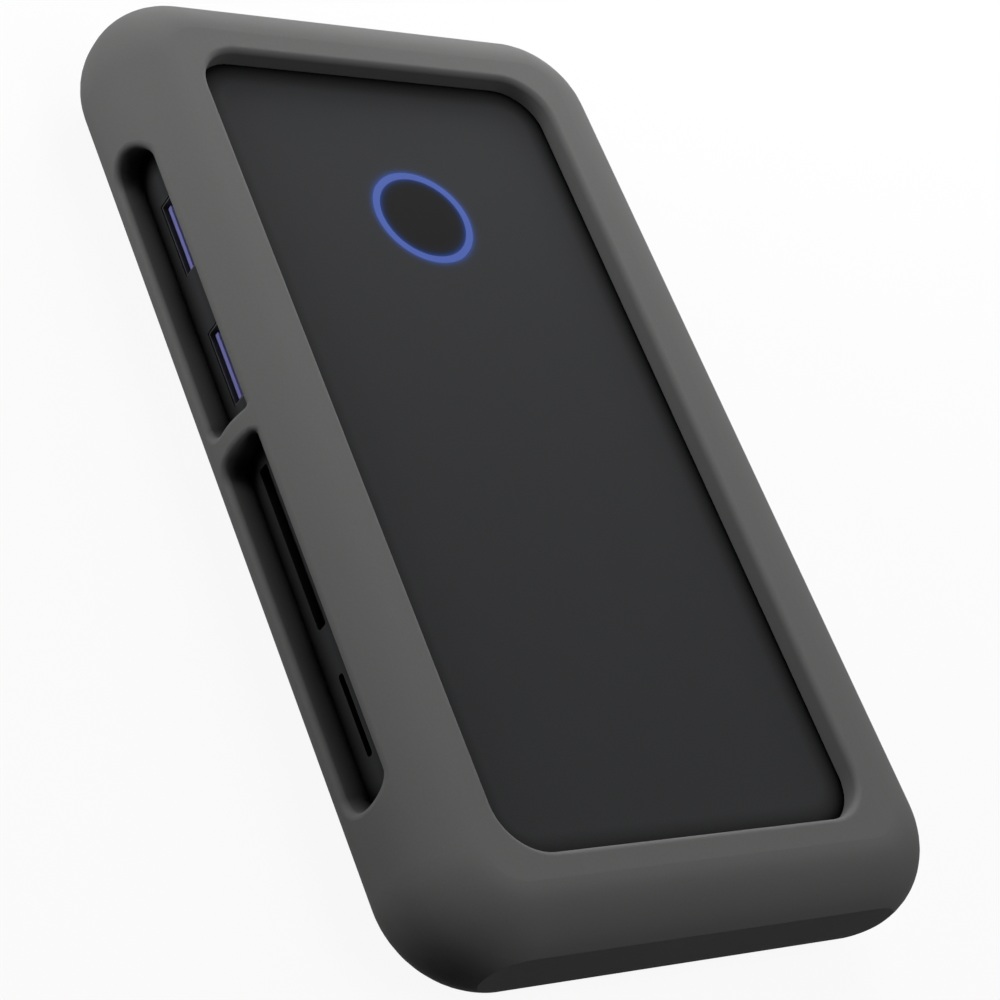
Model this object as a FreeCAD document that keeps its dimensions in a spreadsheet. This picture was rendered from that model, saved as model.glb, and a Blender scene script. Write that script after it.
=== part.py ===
"""Drive docking station in a soft protective sleeve, in millimetres.

The sleeve stands on its underside: +Z is up, +Y runs along the length towards the host port,
and the data ports and card slots look towards -X. The origin is the middle of the underside.
"""
import FreeCAD
import Part
import Sketcher
import math
import os
import re

from FreeCAD import Placement, Rotation, Vector

# Driving dimensions: name, millimetres, what is measured
DIMENSIONS = (
    ("device_width", 82.4, "inner device across the port wall and the plain wall"),
    ("device_length", 152.7, "inner device along the port wall"),
    ("device_height", 14.2, "inner device, underside to top"),
    ("device_corner", 10.4, "plan radius of the device corners"),
    ("device_edge", 1.2, "rounding of the top edge of the device"),
    ("side_wall", 1.5, "wall of the upper housing"),
    ("top_thickness", 1.2, "top of the upper housing"),
    ("sleeve_wall", 4.5, "sleeve outside the device at its widest"),
    ("sleeve_lip", 3.15, "sleeve above the top and below the underside of the device"),
    ("sleeve_fit", 0.1, "between sleeve and device walls"),
    ("sleeve_top_round", 9.4, "upper rounding of the bumper section"),
    ("sleeve_bottom_round", 10.1, "lower rounding of the bumper section"),
    ("end_flat_depth", 0.95, "flat land cut into each rounded end"),
    ("side_cover", 8.9, "sleeve over the device along each side, up to the top and bottom windows"),
    ("end_cover", 8.65, "sleeve over the device at each end, up to the top and bottom windows"),
    ("window_corner", 7.5, "plan radius of the window corners"),
    ("window_edge", 0.9, "rounding of the window rims"),
    ("side_window_rise", 5.15, "floor of the side windows above the device underside"),
    ("side_window_height", 7.6, "side windows, floor to ceiling"),
    ("side_window_end", 3.7, "round outer ends of the side windows"),
    ("web_head_corner", 0.6, "corners of the side windows beside the head of the web"),
    ("web_foot_corner", 2.6, "corners of the side windows beside the foot of the web"),
    ("side_window_edge", 0.9, "rounding of the side window rims"),
    ("port_window_length", 48.75, "side window over the data ports"),
    ("card_window_length", 55.75, "side window over the card slots"),
    ("web_width", 3.7, "web between the two side windows"),
    ("web_center", 2.2, "web ahead of the middle, at half its height"),
    ("web_lean", 1.5, "head of the web ahead of its foot"),
    ("host_window_width", 15.0, "window in the far end over the host port"),
    ("host_window_height", 7.4, "window in the far end, floor to ceiling"),
    ("host_window_end", 3.6, "round ends of the host window"),
    ("host_window_edge", 0.6, "rounding of the host window rim"),
    ("ring_outer", 8.7, "outer radius of the light ring"),
    ("ring_inner", 7.5, "inner radius of the light ring face"),
    ("ring_center", 39.85, "light ring ahead of the middle"),
    ("ring_fit", 0.05, "round the light ring and its disc"),
    ("ring_flange", 1.5, "flange of the ring under the top"),
    ("ring_flange_thickness", 0.8, "flange of the ring, thickness"),
    ("disc_thickness", 1.2, "disc inside the ring"),
    ("disc_ledge", 1.0, "ledge of the ring under the disc"),
    ("led_gap", 0.3, "between the ring and its lamps"),
    ("led_length", 2.0, "lamp under the ring, along the board"),
    ("led_width", 1.3, "lamp under the ring, across"),
    ("led_height", 0.8, "lamp under the ring, height"),
    ("plate_thickness", 2.4, "base plate"),
    ("plate_fit", 0.1, "between base plate and housing walls"),
    ("boss_inset", 7.0, "screw bosses from the outside of the device"),
    ("boss_radius", 3.0, "screw bosses of the housing"),
    ("post_radius", 2.5, "board posts of the housing"),
    ("screw_radius", 1.0, "housing screws, thread"),
    ("screw_head_radius", 2.1, "housing screws, head"),
    ("screw_head_height", 1.2, "housing screws, head"),
    ("screw_sink", 0.2, "housing screw heads below the plate face"),
    ("screw_length", 6.0, "housing screws under the head"),
    ("screw_fit", 0.05, "round each screw thread"),
    ("head_fit", 0.15, "round each sunk screw head"),
    ("door_width", 30.0, "drive bay door, across"),
    ("door_length", 104.0, "drive bay door, along"),
    ("door_thickness", 1.4, "drive bay door"),
    ("door_corner", 3.0, "corners of the drive bay door"),
    ("door_fit", 0.2, "round the drive bay door"),
    ("door_ledge", 2.0, "ledge of the base plate under the door"),
    ("door_offset", 12.0, "drive bay off the middle, away from the ports"),
    ("door_screw_inset", 4.0, "door screw from the near end of the door"),
    ("door_boss_height", 1.6, "boss of the door screw above the ledge"),
    ("door_screw_head", 0.8, "head of the door screw"),
    ("door_screw_length", 2.2, "door screw under the head"),
    ("tab_width", 5.0, "tabs on the far end of the door"),
    ("tab_length", 2.0, "tabs on the far end of the door"),
    ("tab_thickness", 0.7, "tabs on the far end of the door"),
    ("tab_spread", 9.0, "tabs from the middle of the door"),
    ("board_rise", 7.15, "top of the main board above the device underside"),
    ("board_thickness", 1.6, "main board"),
    ("board_gap", 0.3, "between the main board and the port wall"),
    ("board_margin", 8.0, "main board from the plain wall"),
    ("board_end_margin", 11.0, "main board from the end walls"),
    ("board_tab_width", 26.0, "tab of the main board under the host port"),
    ("post_inset", 6.0, "board screws from the edges of the board"),
    ("board_screw_length", 4.0, "board screws under the head"),
    ("port_length", 12.2, "mouth of a data port"),
    ("port_height", 4.8, "mouth of a data port"),
    ("port_pitch", 22.8, "data ports, middle to middle"),
    ("port_center", 26.6, "data ports ahead of the middle"),
    ("port_depth", 15.4, "data port, front to back"),
    ("port_recess", 0.15, "data port shells behind the outside of the wall"),
    ("port_sheet", 0.2, "sheet of the data port shells"),
    ("port_fit", 0.05, "hole round a data port shell"),
    ("port_rise", 0.3, "data port shells above the board, on their feet"),
    ("port_foot", 2.0, "feet of the data port shells, along the sides"),
    ("socket_gap", 0.1, "between the card sockets and the inside of the wall"),
    ("tongue_length", 11.1, "tongue of a data port, along the wall"),
    ("tongue_thickness", 0.75, "tongue of a data port"),
    ("tongue_rise", 0.5, "tongue above the floor of the port"),
    ("tongue_recess", 0.65, "tongue behind the outside of the wall"),
    ("port_back", 3.0, "block at the back of a data port"),
    ("contact_width", 1.0, "contacts of the data ports and the large card slot"),
    ("contact_sheet", 0.2, "contacts, thickness"),
    ("contact_length", 6.0, "contacts ahead of the back of a socket"),
    ("card_length", 25.9, "large card slot, along the wall"),
    ("card_height", 2.15, "large card slot"),
    ("card_center", 15.1, "large card slot behind the middle"),
    ("card_floor", 0.37, "floor of the large card socket"),
    ("card_depth", 27.0, "large card socket behind the wall"),
    ("small_card_length", 12.4, "small card slot, along the wall"),
    ("small_card_height", 1.2, "small card slot"),
    ("small_card_center", 41.5, "small card slot behind the middle"),
    ("small_card_floor", 0.88, "floor of the small card socket"),
    ("small_card_depth", 15.0, "small card socket behind the wall"),
    ("slot_corner", 0.5, "round corners of the card slots"),
    ("socket_rail", 1.2, "rails of the card sockets"),
    ("socket_back", 3.0, "block at the back of the card sockets"),
    ("socket_sheet", 0.2, "covers of the card sockets"),
    ("host_width", 8.94, "shell of the host port, outside"),
    ("host_height", 3.16, "shell of the host port, outside"),
    ("host_sheet", 0.3, "shell of the host port"),
    ("host_depth", 7.3, "shell of the host port, front to back"),
    ("host_recess", 0.2, "host port behind the outside of the end wall"),
    ("host_fit", 0.12, "hole round the host port shell"),
    ("host_drop", 1.36, "host port let down into the notch of the board"),
    ("host_notch_fit", 0.2, "board notch round the host port"),
    ("host_lug_width", 1.2, "solder lugs of the host port, beside the shell"),
    ("host_lug_length", 2.0, "solder lugs of the host port, along the shell"),
    ("host_tongue_width", 6.7, "tongue of the host port"),
    ("host_tongue_thickness", 0.7, "tongue of the host port"),
    ("host_tongue_length", 4.4, "tongue of the host port"),
    ("host_back", 2.2, "block at the back of the host port"),
    ("drive_socket_width", 22.0, "drive edge socket, across"),
    ("drive_socket_depth", 7.0, "drive edge socket, along"),
    ("drive_socket_height", 2.8, "drive edge socket below the board"),
    ("drive_socket_y", 44.0, "drive edge socket ahead of the middle"),
    ("drive_slot_width", 20.0, "slot of the drive edge socket"),
    ("drive_slot_height", 1.2, "slot of the drive edge socket"),
    ("drive_slot_depth", 4.5, "slot of the drive edge socket"),
    ("drive_span", 80.0, "drive edge socket to the drive standoff"),
    ("standoff_radius", 2.2, "drive standoff"),
    ("standoff_height", 1.3, "drive standoff below the board"),
    ("chip_side", 9.0, "hub chip"),
    ("small_chip_side", 6.5, "bridge chip and card chip"),
    ("chip_height", 0.9, "chips on the board"),
    ("coil_side", 4.0, "power coils"),
    ("coil_height", 2.0, "power coils"),
    ("crystal_length", 3.2, "timing crystals"),
    ("crystal_width", 2.5, "timing crystals"),
    ("crystal_height", 0.7, "timing crystals"),
    ("capacitor_length", 1.6, "capacitors beside the hub chip"),
    ("capacitor_width", 0.8, "capacitors beside the hub chip"),
    ("capacitor_pitch", 2.4, "capacitors beside the hub chip"),
)

# Places that follow from the driving dimensions
PLACES = (
    ("device_bottom", "sleeve_lip"),
    ("device_top", "sleeve_lip + device_height"),
    ("sleeve_height", "device_height + 2 * sleeve_lip"),
    ("sleeve_width", "device_width + 2 * (sleeve_fit + sleeve_wall)"),
    ("sleeve_length", "device_length + 2 * (sleeve_fit + sleeve_wall)"),
    ("sleeve_corner", "device_corner + sleeve_fit + sleeve_wall"),
    ("end_flat", "device_length / 2 + sleeve_fit + sleeve_wall - end_flat_depth"),
    ("window_width", "device_width - 2 * side_cover"),
    ("window_length", "device_length - 2 * end_cover"),
    ("cavity_width", "device_width + 2 * sleeve_fit"),
    ("cavity_length", "device_length + 2 * sleeve_fit"),
    ("side_window_floor", "sleeve_lip + side_window_rise"),
    ("side_window_ceiling", "sleeve_lip + side_window_rise + side_window_height"),
    ("port_window_end", "web_center + web_width / 2 + port_window_length"),
    ("card_window_end", "web_center - web_width / 2 - card_window_length"),
    ("top_underside", "sleeve_lip + device_height - top_thickness"),
    ("plate_top", "sleeve_lip + plate_thickness"),
    ("boss_x", "device_width / 2 - boss_inset"),
    ("boss_y", "device_length / 2 - boss_inset"),
    ("port_wall", "-device_width / 2"),
    ("port_wall_inside", "side_wall - device_width / 2"),
    ("end_wall", "device_length / 2"),
    ("socket_front", "side_wall + socket_gap - device_width / 2"),
    ("board_top", "sleeve_lip + board_rise"),
    ("board_bottom", "sleeve_lip + board_rise - board_thickness"),
    ("board_left", "side_wall + board_gap - device_width / 2"),
    ("board_right", "device_width / 2 - board_margin"),
    ("board_end", "device_length / 2 - board_end_margin"),
    ("board_tab_end", "device_length / 2 - side_wall - board_gap"),
    ("post_y", "device_length / 2 - board_end_margin - post_inset"),
    ("post_left", "side_wall + board_gap - device_width / 2 + post_inset"),
    ("post_right", "device_width / 2 - board_margin - post_inset"),
    ("port_front", "port_recess - device_width / 2"),
    ("port_bottom", "sleeve_lip + board_rise + port_rise"),
    ("port_floor", "sleeve_lip + board_rise + port_rise + port_sheet"),
    ("tongue_bottom", "sleeve_lip + board_rise + port_rise + port_sheet + tongue_rise"),
    ("host_middle", "sleeve_lip + board_rise + host_height / 2 - host_drop"),
    ("host_start", "device_length / 2 - host_recess - host_depth"),
    ("ring_foot", "sleeve_lip + board_rise + led_height + led_gap"),
    ("door_near", "drive_socket_y - drive_span / 2 - door_length / 2"),
    ("door_middle", "drive_socket_y - drive_span / 2"),
    ("door_screw_y", "drive_socket_y - drive_span / 2 - door_length / 2 + door_screw_inset"),
)

# How many stand in a row
BACK_CONTACTS = 4
FRONT_CONTACTS = 5
CARD_CONTACTS = 9
SMALL_CARD_CONTACTS = 8
HOST_CONTACTS = 12
DRIVE_CONTACTS = 16
CAPACITORS = 6

DIMENSION_NAMES = {name for name, _, _ in DIMENSIONS}
PLACE_NAMES = {name for name, _ in PLACES}
SIDES = (("left", "-"), ("right", "+"))
TOLERANCE = 1e-4

doc = FreeCAD.newDocument("docking_station")


def bound(expression):
    """The expression with each name pointed at the sheet that holds it."""
    def point(match):
        name = match.group()
        if name in PLACE_NAMES:
            return "Places." + name
        return "Dims." + name if name in DIMENSION_NAMES else name
    return re.sub(r"[a-z_]+", point, expression)


def fill_sheets():
    """The driving dimensions on one sheet, the places that follow from them on another."""
    dims = doc.addObject("Spreadsheet::Sheet", "Dims")
    for row, (name, size, meaning) in enumerate(DIMENSIONS, 1):
        dims.set("A%d" % row, name)
        dims.set("B%d" % row, str(size))
        dims.setAlias("B%d" % row, name)
        dims.set("C%d" % row, meaning)
    places = doc.addObject("Spreadsheet::Sheet", "Places")
    for row, (name, formula) in enumerate(PLACES, 1):
        places.set("A%d" % row, name)
        places.set("B%d" % row, "=" + bound(formula))
        places.setAlias("B%d" % row, name)
    doc.recompute()
    return dims


def value(expression):
    """The present number behind an expression."""
    return float(sheet.evalExpression(bound(expression)))


def bind(item, **properties):
    """Each property of the item follows an expression over the sheets."""
    for name, expression in properties.items():
        item.setExpression(name, bound(expression))
    return item


def place(item, corner):
    """The item's base point follows three expressions."""
    for axis, expression in zip("xyz", corner):
        item.setExpression("Placement.Base." + axis, bound(expression))
    return item


# Features of a moulded or cut body

def new_body(label):
    body = doc.addObject("PartDesign::Body", label)
    body.Label = label
    return body


def new_sketch(body, name, plane, lift):
    """Sketch on one of the body's own planes, lifted along the plane's normal."""
    sketch = body.newObject("Sketcher::SketchObject", name)
    origin = next(item for item in body.Origin.OriginFeatures if item.Role == plane)
    sketch.AttachmentSupport = [(origin, "")]
    sketch.MapMode = "FlatFace"
    sketch.setExpression("AttachmentOffset.Base.z", bound(lift))
    return sketch


def hold(sketch, kind, target, expression):
    """Constraint of the sketch that follows an expression."""
    index = sketch.addConstraint(Sketcher.Constraint(kind, *target, value(expression)))
    sketch.setExpression("Constraints[%d]" % index, bound(expression))


def outline(body, name, plane, lift, points):
    """Closed outline of straight runs, each corner held by two expressions."""
    sketch = new_sketch(body, name, plane, lift)
    corners = [Vector(value(u), value(v), 0) for u, v in points]
    count = len(points)
    for i in range(count):
        sketch.addGeometry(Part.LineSegment(corners[i], corners[(i + 1) % count]), False)
    for i in range(count):
        sketch.addConstraint(Sketcher.Constraint("Coincident", i, 2, (i + 1) % count, 1))
    for i, (u, v) in enumerate(points):
        hold(sketch, "DistanceX", (-1, 1, i, 1), u)
        hold(sketch, "DistanceY", (-1, 1, i, 1), v)
    return sketch


def rounded(body, name, plane, lift, size, radius, middle=("0", "0")):
    """Rectangle about a middle point with round corners."""
    sketch = new_sketch(body, name, plane, lift)
    u0, u1 = ("%s %s (%s) / 2" % (middle[0], sign, size[0]) for sign in "-+")
    v0, v1 = ("%s %s (%s) / 2" % (middle[1], sign, size[1]) for sign in "-+")
    sides = ((u1, v0), (u1, v1), (u0, v1), (u0, v0))
    inward = ((-1, 1), (-1, -1), (1, -1), (1, 1))
    bend = value(radius)
    arcs = []
    for turn, ((u, v), (a, b)) in enumerate(zip(sides, inward)):
        centre = Vector(value(u) + a * bend, value(v) + b * bend, 0)
        first = math.radians(90 * (turn - 1))
        circle = Part.Circle(centre, Vector(0, 0, 1), bend)
        arcs.append(Part.ArcOfCircle(circle, first, first + math.pi / 2))
    for i in range(4):
        sketch.addGeometry(Part.LineSegment(arcs[i - 1].EndPoint, arcs[i].StartPoint), False)
    for arc in arcs:
        sketch.addGeometry(arc, False)
    for i in range(4):
        sketch.addConstraint(Sketcher.Constraint("Tangent", i, 2, 4 + i, 1))
        sketch.addConstraint(Sketcher.Constraint("Tangent", 4 + i, 2, (i + 1) % 4, 1))
        sketch.addConstraint(Sketcher.Constraint("Vertical" if i % 2 else "Horizontal", i))
        hold(sketch, "Radius", (4 + i,), radius)
    for line, kind, expression in ((0, "DistanceY", v0), (1, "DistanceX", u1), (2, "DistanceY", v1),
                                   (3, "DistanceX", u0)):
        hold(sketch, kind, (-1, 1, line, 1), expression)
    return sketch


def rectangle(width, length, middle=("0", "0")):
    """Corner expressions of a rectangle about a middle point."""
    u, v = middle
    signs = (("-", "-"), ("+", "-"), ("+", "+"), ("-", "+"))
    return [("%s %s (%s) / 2" % (u, a, width), "%s %s (%s) / 2" % (v, b, length)) for a, b in signs]


def pad(body, sketch, length):
    feature = body.newObject("PartDesign::Pad", sketch.Name + "_pad")
    feature.Profile = sketch
    return bind(feature, Length=length)


def pocket(body, sketch, depth, forward=False):
    """Cut from the sketch against its normal, or along it where forward is set."""
    feature = body.newObject("PartDesign::Pocket", sketch.Name + "_pocket")
    feature.Profile = sketch
    feature.Reversed = forward
    return bind(feature, Length=depth)


def round_edges(body, name, radius, chosen):
    """Round the edges of the body's last feature that the test picks."""
    doc.recompute()
    base = body.Tip
    edges = ["Edge%d" % (i + 1) for i, edge in enumerate(base.Shape.Edges) if chosen(edge)]
    feature = body.newObject("PartDesign::Fillet", name)
    feature.Base = (base, edges)
    return bind(feature, Radius=radius)


def body_block(body, kind, name, size, corner):
    """Box added to or taken from a body; kind is Additive or Subtractive."""
    feature = body.newObject("PartDesign::%sBox" % kind, name)
    bind(feature, Length=size[0], Width=size[1], Height=size[2])
    return place(feature, corner)


ALONG_Y = Rotation(Vector(1, 0, 0), -90)


def body_rod(body, kind, name, radius, length, base, turn=Rotation()):
    """Cylinder added to or taken from a body, upright unless it is turned."""
    feature = body.newObject("PartDesign::%sCylinder" % kind, name)
    feature.Placement = Placement(Vector(), turn)
    bind(feature, Radius=radius, Height=length)
    return place(feature, base)


# Tests that pick edges

def level_at(z):
    """Edges that lie in the level plane at height z."""
    def chosen(edge):
        box = edge.BoundBox
        return box.ZLength < TOLERANCE and abs(box.ZMin - value(z)) < TOLERANCE
    return chosen


def window_rim(edge):
    """Edges of the top and bottom windows on the two faces of the sleeve."""
    middle = edge.BoundBox.Center
    inside = (abs(middle.x) < value("window_width / 2") + TOLERANCE
              and abs(middle.y) < value("window_length / 2") + TOLERANCE)
    return inside and (level_at("0")(edge) or level_at("sleeve_height")(edge))


def corner_near(middle_y, reach, levels=("side_window_floor", "side_window_ceiling")):
    """Corners of the side windows, straight through the sleeve, near a place and at given levels."""
    def chosen(edge):
        box = edge.BoundBox
        through = box.YLength < TOLERANCE and box.ZLength < TOLERANCE and box.XMax < value("port_wall_inside")
        near = abs(box.YMin - value(middle_y)) < value(reach) + TOLERANCE
        return through and near and any(abs(box.ZMin - value(z)) < TOLERANCE for z in levels)
    return chosen


def side_rim(edge):
    """Edges of the side windows on the outside of the sleeve."""
    box = edge.BoundBox
    return (box.XMax < value("-cavity_width / 2 - sleeve_wall / 8")
            and box.YMin > value("card_window_end") - TOLERANCE
            and box.YMax < value("port_window_end") + TOLERANCE
            and box.ZMin > value("side_window_floor") - TOLERANCE
            and box.ZMax < value("side_window_ceiling") + TOLERANCE)


def host_rim(edge):
    """Edges of the host window on the outside of the far end."""
    box = edge.BoundBox
    return (box.YMin > value("end_wall + sleeve_wall / 2")
            and box.XMin > value("-host_window_width / 2") - TOLERANCE
            and box.XMax < value("host_window_width / 2") + TOLERANCE
            and box.ZMin > value("host_middle - host_window_height / 2") - TOLERANCE
            and box.ZMax < value("host_middle + host_window_height / 2") + TOLERANCE)


# Plain solids and groups

def block(name, size, corner):
    """Box from its lowest corner; every size and place is an expression."""
    solid = doc.addObject("Part::Box", name)
    bind(solid, Length=size[0], Width=size[1], Height=size[2])
    return place(solid, corner)


def rod(name, radius, length, base, turn=Rotation()):
    """Cylinder from the middle of its foot."""
    solid = doc.addObject("Part::Cylinder", name)
    solid.Placement = Placement(Vector(), turn)
    bind(solid, Radius=radius, Height=length)
    return place(solid, base)


def fused(name, solids):
    whole = doc.addObject("Part::MultiFuse", name)
    whole.Shapes = solids
    whole.Refine = True
    return whole


def cut(name, base, tool):
    left = doc.addObject("Part::Cut", name)
    left.Base = base
    left.Tool = tool
    return left


def group(name, solids):
    """Separate solids that share one node."""
    whole = doc.addObject("Part::Compound", name)
    whole.Links = solids
    return whole


def in_row(count):
    """Steps of the pieces in a row from the middle of the row."""
    return [i - (count - 1) / 2 for i in range(count)]


def screw(name, head_radius, head_height, length, base):
    """Screw that points up from the lower face of its head."""
    head = rod(name + "_head", head_radius, head_height, base)
    thread = rod(name + "_thread", "screw_radius", "%s + %s" % (head_height, length), base)
    return fused(name, [head, thread])


# Sleeve

def build_sleeve():
    """Soft bumper, moulded round the device and open over its top, underside and ports."""
    body = new_body("protective_sleeve")
    plan = rounded(body, "sleeve_plan", "XY_Plane", "0", ("sleeve_width", "sleeve_length"), "sleeve_corner")
    pad(body, plan, "sleeve_height")
    round_edges(body, "bumper_top", "sleeve_top_round", level_at("sleeve_height"))
    round_edges(body, "bumper_bottom", "sleeve_bottom_round", level_at("0"))
    land = rectangle("sleeve_width", "sleeve_height", ("0", "sleeve_height / 2"))
    near = outline(body, "near_flat", "XZ_Plane", "end_flat", land)
    pocket(body, near, "2 * end_flat_depth", forward=True)
    far = outline(body, "far_flat", "XZ_Plane", "-end_flat", land)
    pocket(body, far, "2 * end_flat_depth")
    window = ("window_width", "window_length")
    pocket(body, rounded(body, "window_plan", "XY_Plane", "sleeve_height", window, "window_corner"),
           "sleeve_height")
    round_edges(body, "window_rims", "window_edge", window_rim)
    hollow = rounded(body, "hollow_plan", "XY_Plane", "device_top", ("cavity_width", "cavity_length"),
                     "device_corner + sleeve_fit")
    pocket(body, hollow, "device_height")
    cut_side_windows(body)
    cut_host_window(body)
    return body


def cut_side_windows(body):
    """Two windows in one line along the port side, round at their ends, with a leaning web between."""
    for name, sign in (("port_window", "+"), ("card_window", "-")):
        end = name + "_end"
        web = "web_center %s web_width / 2" % sign
        shape = [(web + " - web_lean / 2", "side_window_floor"), (end, "side_window_floor"),
                 (end, "side_window_ceiling"), (web + " + web_lean / 2", "side_window_ceiling")]
        pocket(body, outline(body, name, "YZ_Plane", "port_wall", shape), "sleeve_wall + 2 * sleeve_fit")
        round_edges(body, name + "_ends", "side_window_end", corner_near(end, "0"))
    for end, level in (("head", "side_window_ceiling"), ("foot", "side_window_floor")):
        round_edges(body, "web_%s" % end, "web_%s_corner" % end,
                    corner_near("web_center", "(web_width + web_lean) / 2", [level]))
    round_edges(body, "side_rims", "side_window_edge", side_rim)


def cut_host_window(body):
    """Window in the far end, round the host port."""
    size = ("host_window_width", "host_window_height")
    shape = rounded(body, "host_window", "XZ_Plane", "-end_wall", size, "host_window_end",
                    ("0", "host_middle"))
    pocket(body, shape, "sleeve_wall + 2 * sleeve_fit")
    round_edges(body, "host_rims", "host_window_edge", host_rim)


# Housing

def corners_of(x, y):
    """The four places at plus and minus x and y."""
    return [(sx + x, sy + y) for sx in ("", "-") for sy in ("", "-")]


BORE = "screw_radius + screw_fit"
POSTS = [(x, sign + "post_y") for x in ("post_left", "post_right") for sign in ("", "-")]


def build_upper_housing():
    """Top and walls in one moulding, with screw bosses, board posts and the port mouths."""
    body = new_body("upper_housing")
    outside = ("device_width", "device_length")
    pad(body, rounded(body, "housing_plan", "XY_Plane", "device_bottom", outside, "device_corner"),
        "device_height")
    round_edges(body, "housing_edge", "device_edge", level_at("device_top"))
    inside = ("device_width - 2 * side_wall", "device_length - 2 * side_wall")
    pocket(body, rounded(body, "housing_hollow", "XY_Plane", "top_underside", inside,
                         "device_corner - side_wall"), "device_height - top_thickness")
    supports = [("boss", "boss_radius", "plate_top", "screw_length", spot)
                for spot in corners_of("boss_x", "boss_y")]
    supports += [("post", "post_radius", "board_top", "board_screw_length", spot) for spot in POSTS]
    for index, (name, radius, foot, reach, (x, y)) in enumerate(supports):
        base = (x, y, foot)
        rise = "top_underside + top_thickness / 2 - %s" % foot
        body_rod(body, "Additive", "%s_%d" % (name, index), radius, rise, base)
        body_rod(body, "Subtractive", "%s_bore_%d" % (name, index), BORE, reach, base)
    body_rod(body, "Subtractive", "ring_hole", "ring_outer + ring_fit", "2 * top_thickness",
             ("0", "ring_center", "top_underside - top_thickness / 2"))
    through = "2 * side_wall"
    start = "port_wall - side_wall / 2"
    collar = "(port_sheet + port_fit)"
    for index, y in enumerate(port_places(), 1):
        body_block(body, "Subtractive", "port_mouth_%d" % index,
                   (through, "port_length + 2 * " + collar, "port_height + 2 * " + collar),
                   (start, "%s - port_length / 2 - %s" % (y, collar), "port_floor - " + collar))
    for name in ("card", "small_card"):
        height = name + "_height"
        middle = ("-%s_center" % name, "board_top + %s_floor + %s / 2" % (name, height))
        slot = rounded(body, name + "_mouth", "YZ_Plane", "port_wall", (name + "_length", height),
                       "slot_corner", middle)
        pocket(body, slot, through, forward=True)
    round_hole = "host_height / 2 + host_fit"
    straight = "host_width / 2 - host_height / 2"
    wall_start = "end_wall - 3 * side_wall / 2"
    body_block(body, "Subtractive", "host_mouth", ("2 * (%s)" % straight, through, "2 * (%s)" % round_hole),
               ("-(%s)" % straight, wall_start, "host_middle - host_height / 2 - host_fit"))
    for side, sign in SIDES:
        body_rod(body, "Subtractive", "host_mouth_" + side, round_hole, through,
                 ("%s(%s)" % (sign, straight), wall_start, "host_middle"), ALONG_Y)
    return body


def build_base_plate():
    """Plate that closes the housing from below, with the drive bay in it."""
    body = new_body("base_plate")
    inset = "2 * (side_wall + plate_fit)"
    size = ("device_width - " + inset, "device_length - " + inset)
    pad(body, rounded(body, "plate_plan", "XY_Plane", "device_bottom", size,
                      "device_corner - side_wall - plate_fit"), "plate_thickness")
    for index, (x, y) in enumerate(corners_of("boss_x", "boss_y")):
        body_rod(body, "Subtractive", "plate_bore_%d" % index, BORE, "plate_thickness",
                 (x, y, "device_bottom"))
        body_rod(body, "Subtractive", "plate_sink_%d" % index, "screw_head_radius + head_fit",
                 "screw_sink + screw_head_height", (x, y, "device_bottom"))
    middle = ("door_offset", "door_middle")
    seat = ("door_width + 2 * door_fit", "door_length + 2 * door_fit")
    bay = ("door_width - 2 * door_ledge", "door_length - 2 * door_ledge")
    pocket(body, rounded(body, "door_seat", "XY_Plane", "device_bottom + door_thickness", seat,
                         "door_corner + door_fit", middle), "door_thickness")
    opening = outline(body, "bay_plan", "XY_Plane", "plate_top", rectangle(*bay, middle))
    pocket(body, opening, "plate_thickness")
    foot = "device_bottom + door_thickness"
    spot = ("door_offset", "door_screw_y", foot)
    body_block(body, "Additive", "door_boss_bridge",
               ("2 * boss_radius", "door_screw_inset", "plate_thickness - door_thickness"),
               ("door_offset - boss_radius", "door_near", foot))
    body_rod(body, "Additive", "door_boss", "boss_radius", "door_boss_height", spot)
    body_rod(body, "Subtractive", "door_boss_bore", BORE, "door_boss_height", spot)
    for side, sign in SIDES:
        body_block(body, "Subtractive", "tab_slot_" + side,
                   ("tab_width + 2 * door_fit", "tab_length + 2 * door_fit", "tab_thickness"),
                   ("door_offset %s tab_spread - tab_width / 2 - door_fit" % sign,
                    "door_middle + door_length / 2", "device_bottom + door_thickness - tab_thickness"))
    return body


def build_bay_door():
    """Door over the drive bay: two tabs at its far end and one screw at its near end."""
    body = new_body("drive_bay_door")
    pad(body, rounded(body, "door_plan", "XY_Plane", "device_bottom", ("door_width", "door_length"),
                      "door_corner", ("door_offset", "door_middle")), "door_thickness")
    for side, sign in SIDES:
        body_block(body, "Additive", "door_tab_" + side,
                   ("tab_width", "tab_length + door_ledge", "tab_thickness"),
                   ("door_offset %s tab_spread - tab_width / 2" % sign,
                    "door_middle + door_length / 2 - door_ledge",
                    "device_bottom + door_thickness - tab_thickness"))
    spot = ("door_offset", "door_screw_y", "device_bottom")
    body_rod(body, "Subtractive", "door_bore", BORE, "door_thickness", spot)
    body_rod(body, "Subtractive", "door_sink", "screw_head_radius + head_fit", "door_screw_head", spot)
    return body


def build_screws():
    """Screws of the base plate, the bay door and the main board."""
    housing = [screw("housing_screw_%d" % i, "screw_head_radius", "screw_head_height", "screw_length",
                     (x, y, "device_bottom + screw_sink"))
               for i, (x, y) in enumerate(corners_of("boss_x", "boss_y"))]
    board = [screw("board_screw_%d" % i, "screw_head_radius", "screw_head_height", "board_screw_length",
                   (x, y, "board_bottom - screw_head_height")) for i, (x, y) in enumerate(POSTS)]
    door = screw("bay_door_screw", "screw_head_radius", "door_screw_head", "door_screw_length",
                 ("door_offset", "door_screw_y", "device_bottom"))
    return [group("housing_screws", housing), group("board_screws", board), door]


# Light ring

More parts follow.
